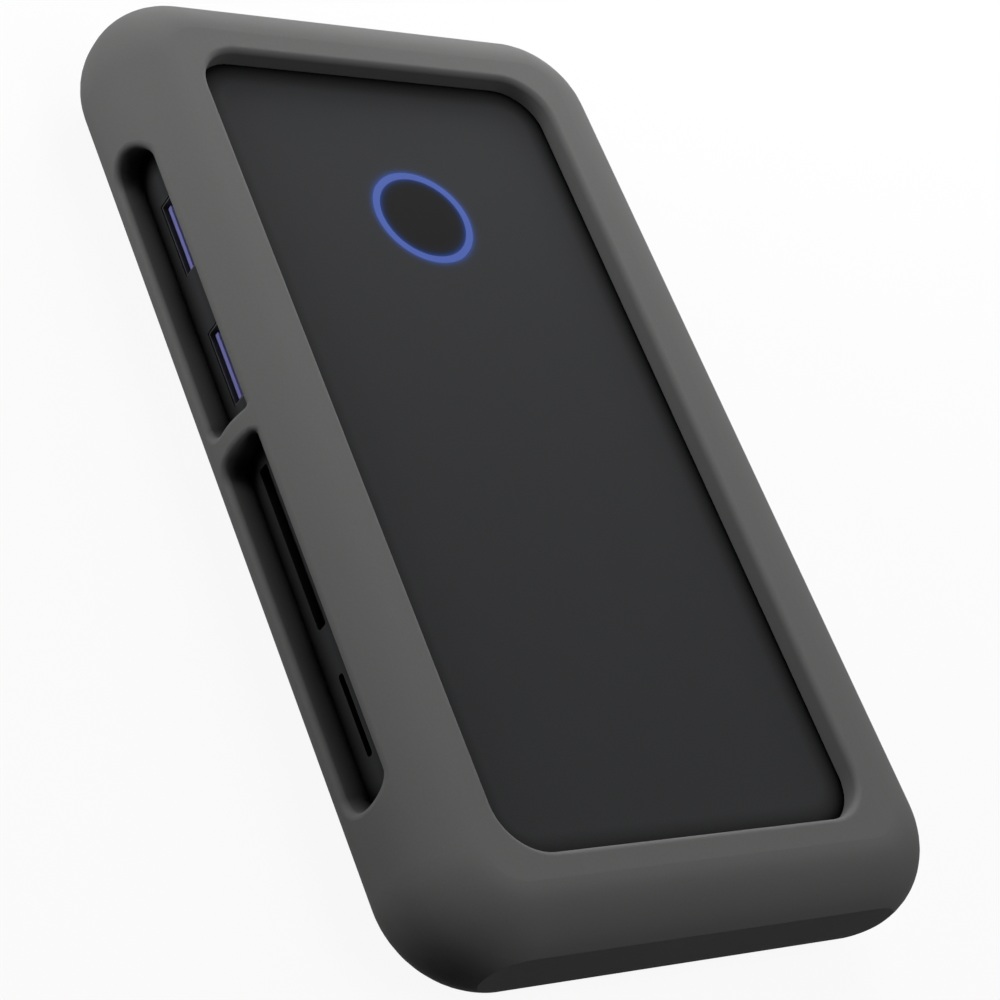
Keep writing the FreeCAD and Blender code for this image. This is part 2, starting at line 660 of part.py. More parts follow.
def build_light_ring():
    """Clear light guide: a tube with a flange under the top and a ledge for the disc."""
    body = new_body("light_ring")
    flange = "ring_outer + ring_flange"
    flange_foot = "top_underside - ring_flange_thickness"
    disc_foot = "device_top - disc_thickness"
    bore = "ring_inner - disc_ledge"
    section = [(bore, "ring_foot"), ("ring_outer", "ring_foot"), ("ring_outer", flange_foot),
               (flange, flange_foot), (flange, "top_underside"), ("ring_outer", "top_underside"),
               ("ring_outer", "device_top"), ("ring_inner", "device_top"), ("ring_inner", disc_foot),
               (bore, disc_foot)]
    sketch = outline(body, "ring_section", "XZ_Plane", "-ring_center", section)
    turned = body.newObject("PartDesign::Revolution", "ring_turned")
    turned.Profile = sketch
    turned.ReferenceAxis = (sketch, ["V_Axis"])
    turned.Angle = 360
    return body


def build_ring_disc():
    """Dark disc that sits inside the light ring, level with the top."""
    return rod("ring_disc", "ring_inner - ring_fit", "disc_thickness",
               ("0", "ring_center", "device_top - disc_thickness"))


def build_ring_leds():
    """Four lamps on the main board under the light ring."""
    reach = "(ring_outer + ring_inner) / 2"
    spots = ((reach, "0"), ("-" + reach, "0"), ("0", reach), ("0", "-" + reach))
    lamps = []
    for index, (x, y) in enumerate(spots):
        across = y != "0"
        size = ("led_length", "led_width") if across else ("led_width", "led_length")
        corner = ("%s - %s / 2" % (x, size[0]), "ring_center + %s - %s / 2" % (y, size[1]), "board_top")
        lamps.append(block("ring_led_%d" % index, size + ("led_height",), corner))
    return group("ring_leds", lamps)


# Main board and what is soldered to it

def build_main_board():
    """Board with a notched tab round the host port and holes for its screws."""
    body = new_body("main_board")
    edge = "board_tab_width / 2"
    notch = "(host_width / 2 + host_notch_fit)"
    notch_end = "host_start - host_notch_fit"
    shape = [("board_left", "-board_end"), ("board_right", "-board_end"), ("board_right", "board_end"),
             (edge, "board_end"), (edge, "board_tab_end"), (notch, "board_tab_end"),
             (notch, notch_end), ("-" + notch, notch_end), ("-" + notch, "board_tab_end"),
             ("-" + edge, "board_tab_end"), ("-" + edge, "board_end"), ("board_left", "board_end")]
    pad(body, outline(body, "board_plan", "XY_Plane", "board_bottom", shape), "board_thickness")
    for index, (x, y) in enumerate(POSTS):
        body_rod(body, "Subtractive", "board_bore_%d" % index, BORE, "board_thickness",
                 (x, y, "board_bottom"))
    return body


def port_places():
    """Middles of the data ports along the wall."""
    return ["(port_center + port_pitch / 2)", "(port_center - port_pitch / 2)"]


def build_data_port(index, y):
    """Data port: folded shell on its feet, insulator with its tongue, and two rows of contacts."""
    name = "data_port_%d_" % index
    mouth_y = "%s - port_length / 2" % y
    outside = block(name + "outside",
                    ("port_depth", "port_length + 2 * port_sheet", "port_height + 2 * port_sheet"),
                    ("port_front", mouth_y + " - port_sheet", "port_bottom"))
    mouth = block(name + "mouth", ("port_depth", "port_length", "port_height"),
                  ("port_front", mouth_y, "port_floor"))
    feet = [block("%sfoot_%s_%s" % (name, side, end), ("port_foot", "port_sheet", "port_rise"),
                  (x, foot_y, "board_top"))
            for side, foot_y in (("near", mouth_y + " - port_sheet"), ("far", mouth_y + " + port_length"))
            for end, x in (("front", "board_left"), ("back", "port_front + port_depth - port_foot"))]
    shell = fused("data_port_shell_%d" % index, [cut(name + "tube", outside, mouth)] + feet)
    back_start = "port_front + port_depth - port_back"
    back = block(name + "back", ("port_back", "port_length", "port_height"),
                 (back_start, mouth_y, "port_floor"))
    front = "port_wall + tongue_recess"
    tongue = block(name + "tongue", ("%s - (%s)" % (back_start, front), "tongue_length", "tongue_thickness"),
                   (front, "%s - tongue_length / 2" % y, "tongue_bottom"))
    core = fused("data_port_core_%d" % index, [back, tongue])
    strips = []
    rows = (("back", BACK_CONTACTS, back_start + " - contact_length", "contact_length"),
            ("front", FRONT_CONTACTS, front + " + contact_width", "2 * contact_width"))
    for row, count, start, length in rows:
        pitch = "tongue_length / %s" % (count + 0.5)
        for i, step in enumerate(in_row(count)):
            strip_y = "%s + %s * %s - contact_width / 2" % (y, step, pitch)
            strips.append(block("%scontact_%s_%d" % (name, row, i),
                                (length, "contact_width", "contact_sheet"),
                                (start, strip_y, "tongue_bottom + tongue_thickness")))
    return [shell, core, group("data_port_contacts_%d" % index, strips)]


def build_card_socket(name, size, y, contacts):
    """Card socket: insulator with rails and back, sheet cover, and a row of contacts."""
    half = size + "_length / 2"
    depth = size + "_depth"
    floor = "board_top + %s_floor" % size
    height = size + "_height"
    width = "%s_length + 2 * socket_rail" % size
    back_start = "socket_front + %s - socket_back" % depth
    pieces = [block(name + "_floor", (depth, width, size + "_floor"),
                    ("socket_front", "%s - %s - socket_rail" % (y, half), "board_top")),
              block(name + "_back", ("socket_back", size + "_length", height),
                    (back_start, "%s - %s" % (y, half), floor))]
    skirts = []
    skirt_height = "%s_floor + %s + socket_sheet" % (size, height)
    for side, rail_y, skirt_y in (("near", "%s - %s - socket_rail" % (y, half),
                                   "%s - %s - socket_rail - socket_sheet" % (y, half)),
                                  ("far", "%s + %s" % (y, half), "%s + %s + socket_rail" % (y, half))):
        pieces.append(block("%s_rail_%s" % (name, side), (depth, "socket_rail", height),
                            ("socket_front", rail_y, floor)))
        skirts.append(block("%s_skirt_%s" % (name, side), (depth, "socket_sheet", skirt_height),
                            ("socket_front", skirt_y, "board_top")))
    cover = block(name + "_cover", (depth, width, "socket_sheet"),
                  ("socket_front", "%s - %s - socket_rail" % (y, half), "%s + %s" % (floor, height)))
    pitch = "%s_length / %d" % (size, contacts + 1)
    strips = [block("%s_contact_%d" % (name, i), ("contact_length", "%s / 2" % pitch, "contact_sheet"),
                    (back_start + " - contact_length",
                     "%s + %s * %s - %s / 4" % (y, step, pitch, pitch), floor))
              for i, step in enumerate(in_row(contacts))]
    return [fused(name + "_base", pieces), fused(name + "_shell", skirts + [cover]),
            group(name + "_contacts", strips)]


def stadium(name, width, height, length, start):
    """Prism along Y with round sides, about the middle of the host port."""
    straight = "((%s) / 2 - (%s) / 2)" % (width, height)
    radius = "(%s) / 2" % height
    core = block(name + "_straight", ("2 * " + straight, length, height),
                 ("-" + straight, start, "host_middle - (%s) / 2" % height))
    sides = [rod(name + "_" + side, radius, length, (sign + straight, start, "host_middle"), ALONG_Y)
             for side, sign in SIDES]
    return fused(name, [core] + sides)


def build_host_port():
    """Host port in the far end: round-sided shell with lugs, insulator with its tongue, contacts."""
    inner = ("host_width - 2 * host_sheet", "host_height - 2 * host_sheet")
    tube = cut("host_tube", stadium("host_outside", "host_width", "host_height", "host_depth", "host_start"),
               stadium("host_inside", *inner, "host_depth", "host_start"))
    lug = ("host_lug_width + host_sheet / 2", "host_lug_length", "host_sheet")
    lug_y = "host_start + (host_depth - host_lug_length) / 2"
    lugs = [block("host_lug_" + side, lug, (x, lug_y, "board_top"))
            for side, x in (("right", "host_width / 2 - host_sheet / 2"),
                            ("left", "-host_width / 2 - host_lug_width"))]
    shell = fused("host_port_shell", [tube] + lugs)
    back = stadium("host_back_block", *inner, "host_back", "host_start")
    tongue_start = "host_start + host_back"
    tongue = block("host_tongue", ("host_tongue_width", "host_tongue_length", "host_tongue_thickness"),
                   ("-host_tongue_width / 2", tongue_start, "host_middle - host_tongue_thickness / 2"))
    core = fused("host_port_core", [back, tongue])
    pitch = "host_tongue_width / %d" % (HOST_CONTACTS + 1)
    strips = []
    for side, z in (("top", "host_middle + host_tongue_thickness / 2"),
                    ("under", "host_middle - host_tongue_thickness / 2 - contact_sheet")):
        for i, step in enumerate(in_row(HOST_CONTACTS)):
            strips.append(block("host_contact_%s_%d" % (side, i),
                                (pitch + " / 2", "host_tongue_length * 3 / 4", "contact_sheet"),
                                ("%s * %s - %s / 4" % (step, pitch, pitch), tongue_start, z)))
    return [shell, core, group("host_port_contacts", strips)]


def build_drive_mount():
    """Edge socket, standoff and screw that hold a bare drive under the board."""
    left = "door_offset - drive_socket_width / 2"
    front = "drive_socket_y - drive_socket_depth / 2"
    bottom = "board_bottom - drive_socket_height"
    slot_z = "board_bottom - standoff_height - drive_slot_height * 5 / 6"
    whole = block("drive_socket_block", ("drive_socket_width", "drive_socket_depth", "drive_socket_height"),
                  (left, front, bottom))
    slot = block("drive_slot", ("drive_slot_width", "drive_slot_depth", "drive_slot_height"),
                 ("door_offset - drive_slot_width / 2", front, slot_z))
    pitch = "drive_slot_width / %d" % (DRIVE_CONTACTS + 1)
    strips = []
    for i, step in enumerate(in_row(DRIVE_CONTACTS)):
        strips.append(block("drive_contact_%d" % i,
                            (pitch + " / 2", "drive_slot_depth * 2 / 3", "contact_sheet"),
                            ("door_offset + %s * %s - %s / 4" % (step, pitch, pitch),
                             front + " + drive_slot_depth / 3", slot_z)))
    spot = ("door_offset", "drive_socket_y - drive_span", "board_bottom - standoff_height")
    post = rod("standoff_outside", "standoff_radius", "standoff_height", spot)
    bore = rod("standoff_bore", BORE, "standoff_height", spot)
    fixing = screw("drive_screw", "standoff_radius", "door_screw_head", "standoff_height",
                   (spot[0], spot[1], spot[2] + " - door_screw_head"))
    return [cut("drive_socket", whole, slot), group("drive_socket_contacts", strips),
            cut("drive_standoff", post, bore), fixing]


def on_board(name, size, middle):
    """Component that stands on the top of the board about a middle point."""
    x, y = middle
    return block(name, size, ("%s - (%s) / 2" % (x, size[0]), "%s - (%s) / 2" % (y, size[1]), "board_top"))


def build_components():
    """Chips, coils, crystals and capacitors on the open part of the board."""
    chip = ("chip_side", "chip_side", "chip_height")
    small_chip = ("small_chip_side", "small_chip_side", "chip_height")
    hub_x = "board_right - 2 * chip_side"
    hub_y = "port_center - port_pitch"
    bridge_y = "%s - 2 * chip_side" % hub_y
    card_y = "-card_center - 2 * chip_side"
    singles = [on_board("hub_chip", chip, (hub_x, hub_y)),
               on_board("bridge_chip", small_chip, (hub_x, bridge_y)),
               on_board("card_chip", small_chip, (hub_x, card_y))]
    crystal = ("crystal_width", "crystal_length", "crystal_height")
    beside = "%s + chip_side" % hub_x
    crystals = [on_board("crystal_%d" % i, crystal, (beside, y)) for i, y in enumerate((hub_y, bridge_y))]
    coil = ("coil_side", "coil_side", "coil_height")
    coil_y = "%s + 2 * chip_side" % hub_y
    coils = [on_board("power_coil_" + side, coil, ("%s %s chip_side" % (hub_x, sign), coil_y))
             for side, sign in SIDES]
    small = ("capacitor_length", "capacitor_width", "capacitor_width")
    spots = [(row, step) for row in ("-", "+") for step in in_row(CAPACITORS)]
    capacitors = [on_board("capacitor_%d" % i, small,
                           ("%s + %s * capacitor_pitch" % (hub_x, step),
                            "%s %s (chip_side / 2 + 2 * capacitor_width)" % (hub_y, row)))
                  for i, (row, step) in enumerate(spots)]
    groups = (("crystals", crystals), ("power_coils", coils), ("capacitors", capacitors))
    return singles + [group(name, solids) for name, solids in groups]


def build_all():
    """Every sub-part of the docking station, in the order it would be put together."""
    parts = [build_main_board()]
    for index, y in enumerate(port_places(), 1):
        parts += build_data_port(index, y)
    parts += build_card_socket("card_socket", "card", "-card_center", CARD_CONTACTS)
    parts += build_card_socket("small_card_socket", "small_card", "-small_card_center", SMALL_CARD_CONTACTS)
    parts += build_host_port()
    parts += build_drive_mount()
    parts += build_components()
    parts += [build_ring_leds(), build_upper_housing(), build_light_ring(), build_ring_disc()]
    parts += [build_base_plate(), build_bay_door()]
    parts += build_screws()
    parts.append(build_sleeve())
    return parts


def check(parts):
    """Stop where an object failed or a sub-part is not a sound solid."""
    for item in doc.Objects:
        if "Invalid" in item.State or "Error" in item.State:
            raise RuntimeError("%s failed: %s" % (item.Label, item.State))
    for item in parts:
        if item.Shape.isNull() or not item.Shape.isValid() or not item.Shape.Solids:
            raise RuntimeError("%s is not a sound solid" % item.Label)


sheet = fill_sheets()
sub_parts = build_all()
doc.recompute()
check(sub_parts)
os.makedirs("parts", exist_ok=True)
for sub_part in sub_parts:
    sub_part.Shape.exportStep("parts/%s.step" % sub_part.Label)
print("%d sub-parts written" % len(sub_parts))
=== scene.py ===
"""Finishes, screws, studio light and camera of a drive docking station in a soft bumper sleeve.

Everything is in metres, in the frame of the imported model: +Z up, +Y along the length towards the
lit ring, and the data ports and card slots look towards -X.
"""
import math

import bpy
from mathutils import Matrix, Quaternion, Vector


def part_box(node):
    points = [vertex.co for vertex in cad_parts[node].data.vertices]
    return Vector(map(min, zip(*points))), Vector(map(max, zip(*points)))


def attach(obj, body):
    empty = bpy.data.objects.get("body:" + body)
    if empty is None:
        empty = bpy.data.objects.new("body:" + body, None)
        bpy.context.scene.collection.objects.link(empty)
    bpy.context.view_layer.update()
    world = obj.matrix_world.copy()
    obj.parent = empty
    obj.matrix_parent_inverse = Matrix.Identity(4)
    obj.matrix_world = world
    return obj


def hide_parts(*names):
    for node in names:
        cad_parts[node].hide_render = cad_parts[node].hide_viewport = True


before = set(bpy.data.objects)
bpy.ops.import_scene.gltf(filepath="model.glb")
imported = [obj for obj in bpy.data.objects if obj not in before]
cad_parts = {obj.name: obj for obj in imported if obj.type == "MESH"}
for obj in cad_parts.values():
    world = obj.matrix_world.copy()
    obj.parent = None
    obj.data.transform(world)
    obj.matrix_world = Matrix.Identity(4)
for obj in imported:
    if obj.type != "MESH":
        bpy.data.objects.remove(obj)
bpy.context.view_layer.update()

MM = 0.001

# Camera of the photograph, found from its straight edges
PHOTO_SIDE_PX = 1000
FOCAL_PX = 2684.0
SENSOR_MM = 36.0
CAMERA_PLACE = Vector((-240.0, -177.8, 270.6)) * MM
CAMERA_TARGET = Vector((-1.1, -7.0, 10.0)) * MM
CAMERA_ROLL = math.radians(42.0)
CAMERA_CLIP = 10 * MM

# Grained surfaces: how much wider the clouding is than the grain, its share of the colour change, the span
# of roughness over it, and the size of the grain on each kind of piece
CLOUD_SPREAD = 40
CLOUD_SHARE = 0.25
CLOUD_ROUGHNESS = 0.10
DEVICE_GRAIN = 0.28 * MM
SLEEVE_GRAIN = 0.35 * MM
SMALL_PART_GRAIN = 0.20 * MM
CONTACT_GRAIN = 0.15 * MM
BOARD_GRAIN = 0.60 * MM
CHIP_GRAIN = 0.12 * MM

# Painted shade in inner corners: its reach and samples, and the heights between which sleeve and device have
# it
SHADE_REACH = 4.0 * MM
SHADE_SAMPLES = 8
SIDE_WINDOW_LEVELS = (7.0 * MM, 17.0 * MM)
DEVICE_LEVELS = (4.0 * MM, 18.0 * MM)

# Ring: radii of its lit face, its light, and the painted glow of its light in the plastic beside it and how
# far
RING_INNER = 7.50 * MM
RING_OUTER = 8.70 * MM
RING_LIGHT = (0.050, 0.092, 0.350)
PAINTED_RING_SPILL = (0.006, 0.044, 0.212)
SPILL_REACH = 0.36 * MM

# Screws: radius and height of the head of each node's screws, and slots as shares of that radius
SCREW_HEADS = {
    "housing_screws": (2.1 * MM, 1.2 * MM),
    "board_screws": (2.1 * MM, 1.2 * MM),
    "bay_door_screw": (2.1 * MM, 0.8 * MM),
    "drive_screw": (2.2 * MM, 0.8 * MM),
}
THREAD_RADIUS = 1.0 * MM
THREAD_DEPTH = 0.16 * MM
THREAD_PITCH = 0.45 * MM
HEAD_SIDES = 48
THREAD_SIDES = 24
ROWS_PER_TURN = 6
SLOT_LENGTH = 1.15
SLOT_WIDTH = 0.24

# Floor: side, share of white in what is seen of it, and its paper as it looks and as it throws light back
FLOOR_SIDE = 6.0
FLOOR_WHITE = 0.92
SEEN_PAPER = 0.90
DIM_PAPER = 0.12

# Soft lamps: bearing from +Y towards +X and height in degrees, distance, width and length in metres, watts
LAMPS = {
    "overhead_lamp": (142, 68, 0.70, 0.40, 0.40, 1.52),
    "far_high_lamp": (30, 65, 0.35, 0.20, 0.20, 0.12),
    "far_lamp": (30, 25, 0.35, 0.20, 0.20, 0.58),
    "far_strip": (30, 12, 0.35, 0.20, 0.14, 0.50),
    "far_left_strip": (-30, 12, 0.35, 0.20, 0.14, 0.18),
    "left_strip": (-60, 12, 0.35, 0.20, 0.14, 0.52),
}


class Socket:
    """Output of a node. Arithmetic on it adds Math nodes to its tree."""

    def __init__(self, sketch, output):
        self.sketch = sketch
        self.output = output

    def maths(self, operation, other=0.0):
        return self.sketch.maths(operation, self, other)

    def __add__(self, other):
        return self.maths("ADD", other)

    def __sub__(self, other):
        return self.maths("SUBTRACT", other)

    def __rsub__(self, other):
        return self.sketch.maths("SUBTRACT", other, self)

    def __mul__(self, other):
        return self.maths("MULTIPLY", other)

    def __truediv__(self, other):
        return self.maths("DIVIDE", other)

    def __rtruediv__(self, other):
        return self.sketch.maths("DIVIDE", other, self)

    __radd__ = __add__
    __rmul__ = __mul__


class Sketch:
    """A node tree that is being drawn."""

    def __init__(self, tree):
        self.tree = tree

    def node(self, kind, settings=None, inputs=None, output=0):
        """New node: its settings first, then the values or links of its sockets."""
        made = self.tree.nodes.new(kind)
        for name, setting in (settings or {}).items():
            setattr(made, name, setting)
        for key, value in (inputs or {}).items():
            for link in value if isinstance(value, list) else [value]:
                if isinstance(link, Socket):
                    self.tree.links.new(link.output, made.inputs[key])
                else:
                    made.inputs[key].default_value = link
        return Socket(self, made.outputs[output]) if len(made.outputs) else made

    def maths(self, operation, first, second):
        return self.node("ShaderNodeMath", {"operation": operation}, {0: first, 1: second})


# Finishes

def rgba(red, green, blue):
    """Opaque colour."""
    return (red, green, blue, 1.0)


BLACK = rgba(0, 0, 0)
WHITE = rgba(1, 1, 1)


def finish(name, shader, draw):
    """Material with one Principled shader: fixed sockets, then what draw adds over the surface."""
    material = bpy.data.materials.new(name)
    material.use_nodes = True
    tree = material.node_tree
    tree.nodes.clear()
    sketch = Sketch(tree)
    place = sketch.node("ShaderNodeTexCoord", output="Object")
    varying = draw(sketch, place)
    surface = sketch.node("ShaderNodeBsdfPrincipled", inputs={**shader, **varying})
    sketch.node("ShaderNodeOutputMaterial", inputs={"Surface": surface})
    return material


def noise(sketch, place, size):
    """Soft noise from 0 to 1 with spots of about the given size."""
    return sketch.node("ShaderNodeTexNoise", {"noise_dimensions": "3D"},
                       {"Vector": place, "Scale": 1.0 / size, "Detail": 2.0}, "Fac")


def blend(sketch, amount, first, second):
    """Colour between two others."""
    return sketch.node("ShaderNodeMix", {"data_type": "RGBA"}, {0: amount, 6: first, 7: second}, 2)


def height_of(sketch, place):
    """Height of a place above the underside."""
    return sketch.node("ShaderNodeSeparateXYZ", inputs={0: place}, output=2)


def painted_corner_shade(sketch, place, levels):
    """Painted shade: 1 on open surfaces, falling to 0 in a square inner corner that lies between two levels.
    """
    clear = sketch.node("ShaderNodeAmbientOcclusion", {"samples": SHADE_SAMPLES},
                        {"Distance": SHADE_REACH}, "AO")
    height = height_of(sketch, place)
    under = height.maths("LESS_THAN", levels[0])
    over = height.maths("GREATER_THAN", levels[1])
    # A square corner leaves half of the view clear
    return clear * 2 - 1 + under + over


def ring_glow_and_painted_spill(sketch, place):
    """Share of the ring's light: on its face, and as painted glow in the plastic beside it, 1 at its edge,
    fading away from it.
    """
    low, high = (Vector(corner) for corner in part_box("light_ring"))
    axis = (low + high) / 2
    flat = sketch.node("ShaderNodeVectorMath", {"operation": "MULTIPLY"},
                       {0: place, 1: (1.0, 1.0, 0.0)})
    reach = sketch.node("ShaderNodeVectorMath", {"operation": "DISTANCE"},
                        {0: flat, 1: (axis.x, axis.y, 0.0)}, "Value")
    middle = (RING_OUTER + RING_INNER) / 2
    beside = (reach - middle).maths("ABSOLUTE") - (RING_OUTER - RING_INNER) / 2
    depth = (high.z - height_of(sketch, place)).maths("ABSOLUTE")
    return ((beside + depth) * (-1.0 / SPILL_REACH)).maths("EXPONENT")


def grained(name, dark, pale, grain, depth, roughness, gloss, glow=None, shaded=None, **shader):
    """Surface with a fine even grain, of a given size and depth, and slow clouding.

    Where it glows, the ring's light shows in it, as painted glow beside the ring; painted shade darkens it
    into its corners between the shaded levels.
    """
    def draw(sketch, place):
        fine = noise(sketch, place, grain)
        cloud = noise(sketch, place, CLOUD_SPREAD * grain)
        amount = fine * (1 - CLOUD_SHARE) + cloud * CLOUD_SHARE
        colour = blend(sketch, amount, rgba(*dark), rgba(*pale))
        if shaded:
            # Painted shade: the colour goes to black towards inner corners
            colour = blend(sketch, painted_corner_shade(sketch, place, shaded), BLACK, colour)
        relief = sketch.node("ShaderNodeBump", inputs={"Height": fine, "Distance": depth, "Strength": 1.0})
        varying = {"Base Color": colour,
                   "Roughness": cloud * CLOUD_ROUGHNESS + (roughness - CLOUD_ROUGHNESS / 2),
                   "Normal": relief}
        if glow:
            # Emission: the ring's own light on the ring, and painted glow on the housing and disc beside it
            varying["Emission Color"] = blend(sketch, ring_glow_and_painted_spill(sketch, place), BLACK, rgba(*glow))
        return varying
    lit = {"Emission Strength": 1.0} if glow else {}
    return finish(name, {"Specular IOR Level": gloss, **lit, **shader}, draw)


def dress(names, material):
    """CAD nodes get a finish."""
    for name in names:
        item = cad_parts[name]
        item.data.materials.clear()
        item.data.materials.append(material)


def dress_outside():
    """Sleeve, housing, plate and door."""
    dress(["protective_sleeve"],
          grained("sleeve_silicone", dark=(0.158, 0.158, 0.156), pale=(0.186, 0.186, 0.184),
                  grain=SLEEVE_GRAIN, depth=0.004 * MM, roughness=0.66, gloss=0.010,
                  shaded=SIDE_WINDOW_LEVELS))
    dress(["upper_housing", "base_plate", "drive_bay_door"],
          grained("housing_grain", dark=(0.039, 0.040, 0.042), pale=(0.053, 0.054, 0.056),
                  grain=DEVICE_GRAIN, depth=0.012 * MM, roughness=0.62, gloss=0.015,
                  glow=PAINTED_RING_SPILL, shaded=DEVICE_LEVELS))


def dress_ring():
    """Disc, lit ring and the lamps under it."""
    dress(["ring_disc"],
          grained("disc_moulding", dark=(0.0135, 0.0135, 0.0135), pale=(0.0175, 0.0175, 0.0175),
                  grain=DEVICE_GRAIN, depth=0.008 * MM, roughness=0.55, gloss=0.015, glow=PAINTED_RING_SPILL))
    dress(["light_ring"],
          grained("ring_light", dark=(0.010, 0.013, 0.035), pale=(0.014, 0.018, 0.045),
                  grain=DEVICE_GRAIN, depth=0.003 * MM, roughness=0.50, gloss=0.04, glow=RING_LIGHT))
    dress(["ring_leds"],
          grained("lamp_body", dark=(0.50, 0.60, 0.85), pale=(0.60, 0.70, 0.90),
                  grain=DEVICE_GRAIN, depth=0.002 * MM, roughness=0.30, gloss=0.5))


def dress_sockets():
    """Shells, insulators and contacts of the ports and sockets."""
    dress([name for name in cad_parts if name.endswith(("_shell", "_shell_1", "_shell_2"))],
          grained("port_steel", dark=(0.10, 0.10, 0.105), pale=(0.14, 0.14, 0.145),
                  grain=SMALL_PART_GRAIN, depth=0.002 * MM, roughness=0.42, gloss=0.5, Metallic=1.0))
    dress(["data_port_core_1", "data_port_core_2"],
          grained("port_insulator", dark=(0.185, 0.185, 0.48), pale=(0.215, 0.215, 0.54),
                  grain=SMALL_PART_GRAIN, depth=0.004 * MM, roughness=0.50, gloss=0.3))
    dress(["host_port_core", "card_socket_base", "small_card_socket_base", "drive_socket"],
          grained("socket_black", dark=(0.014, 0.014, 0.015), pale=(0.022, 0.022, 0.023),
                  grain=SMALL_PART_GRAIN, depth=0.004 * MM, roughness=0.50, gloss=0.3))
    dress([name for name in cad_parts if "_contacts" in name],
          grained("contact_gilt", dark=(0.74, 0.52, 0.20), pale=(0.82, 0.60, 0.26),
                  grain=CONTACT_GRAIN, depth=0.001 * MM, roughness=0.28, gloss=0.5, Metallic=1.0))


def dress_board():
    """Board and what stands on it."""
    dress(["main_board"],
          grained("board_mask", dark=(0.010, 0.045, 0.025), pale=(0.016, 0.065, 0.035),
                  grain=BOARD_GRAIN, depth=0.006 * MM, roughness=0.40, gloss=0.4))
    dress(["hub_chip", "bridge_chip", "card_chip"],
          grained("chip_package", dark=(0.020, 0.020, 0.021), pale=(0.030, 0.030, 0.031),
                  grain=CHIP_GRAIN, depth=0.004 * MM, roughness=0.60, gloss=0.3))
    dress(["crystals"],
          grained("crystal_can", dark=(0.52, 0.51, 0.48), pale=(0.60, 0.59, 0.56),
                  grain=SMALL_PART_GRAIN, depth=0.002 * MM, roughness=0.35, gloss=0.5, Metallic=1.0))
    dress(["power_coils"],
          grained("coil_ferrite", dark=(0.050, 0.050, 0.052), pale=(0.075, 0.075, 0.078),
                  grain=SMALL_PART_GRAIN, depth=0.010 * MM, roughness=0.70, gloss=0.3))
    dress(["capacitors"],
          grained("capacitor_ceramic", dark=(0.33, 0.24, 0.16), pale=(0.40, 0.30, 0.21),
                  grain=SMALL_PART_GRAIN, depth=0.003 * MM, roughness=0.50, gloss=0.4))


# Screws

def screw_tree(material):
    """Node tree that stands a screw on each point: cross-slotted head below, helical thread above."""
    tree = bpy.data.node_groups.new("screws", "GeometryNodeTree")
    tree.interface.new_socket("Points", in_out="INPUT", socket_type="NodeSocketGeometry")
    for name in ("Head Radius", "Head Height", "Length", "Thread Radius", "Thread Depth", "Pitch"):
        tree.interface.new_socket(name, in_out="INPUT", socket_type="NodeSocketFloat")
    tree.interface.new_socket("Screws", in_out="OUTPUT", socket_type="NodeSocketGeometry")
    sketch = Sketch(tree)
    given = sketch.node("NodeGroupInput").output.node
    size = {socket.name: Socket(sketch, socket) for socket in given.outputs}

    def vector(x, y, z):
        return sketch.node("ShaderNodeCombineXYZ", inputs={0: x, 1: y, 2: z})

    def lifted(mesh, z):
        return sketch.node("GeometryNodeTransform", inputs={"Geometry": mesh, "Translation": vector(0, 0, z)})

    head = sketch.node("GeometryNodeMeshCylinder",
                       inputs={"Vertices": HEAD_SIDES, "Radius": size["Head Radius"],
                               "Depth": size["Head Height"]})
    head = lifted(head, size["Head Height"] / 2)
    bar = vector(size["Head Radius"] * SLOT_LENGTH, size["Head Radius"] * SLOT_WIDTH, size["Head Height"])
    slots = []
    for turn in (0.0, math.pi / 2):
        slot = sketch.node("GeometryNodeMeshCube", inputs={"Size": bar})
        slots.append(sketch.node("GeometryNodeTransform",
                                 inputs={"Geometry": slot, "Rotation": (0.0, 0.0, turn)}))
    cross = sketch.node("GeometryNodeMeshBoolean", {"operation": "UNION"}, {"Mesh 2": slots})
    slotted = sketch.node("GeometryNodeMeshBoolean", {"operation": "DIFFERENCE"},
                          {"Mesh 1": head, "Mesh 2": [cross]})

    rows = (size["Length"] / size["Pitch"] * ROWS_PER_TURN).maths("CEIL")
    rod = sketch.node("GeometryNodeMeshCylinder",
                      inputs={"Vertices": THREAD_SIDES, "Side Segments": rows,
                              "Radius": size["Thread Radius"], "Depth": size["Length"]})
    rod = lifted(rod, size["Head Height"] + size["Length"] / 2)
    place = sketch.node("GeometryNodeInputPosition")
    x, y, z = (sketch.node("ShaderNodeSeparateXYZ", inputs={0: place}, output=axis) for axis in range(3))
    turns = z / size["Pitch"] - y.maths("ARCTAN2", x) / (2 * math.pi)
    groove = turns.maths("PINGPONG", 0.5) * 2
    slim = 1 - groove * size["Thread Depth"] / size["Thread Radius"]
    thread = sketch.node("GeometryNodeSetPosition",
                         inputs={"Geometry": rod, "Position": vector(x * slim, y * slim, z)})

    screw = sketch.node("GeometryNodeJoinGeometry", inputs={"Geometry": [slotted, thread]})
    stood = sketch.node("GeometryNodeInstanceOnPoints", inputs={"Points": size["Points"], "Instance": screw})
    solid = sketch.node("GeometryNodeRealizeInstances", inputs={"Geometry": stood})
    steel = sketch.node("GeometryNodeSetMaterial", inputs={"Geometry": solid, "Material": material})
    sketch.node("NodeGroupOutput", inputs={"Screws": steel})
    return tree


def screw_points(node, head_radius):
    """Foot of each screw of a node, at the corners of its box, one head radius in, and the screws' height."""
    low, high = (Vector(corner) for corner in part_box(node))
    spans = [[low[axis] + head_radius, high[axis] - head_radius] for axis in (0, 1)]
    rows = [span if span[1] - span[0] > head_radius else [sum(span) / 2] for span in spans]
    return [(x, y, low.z) for x in rows[0] for y in rows[1]], high.z - low.z


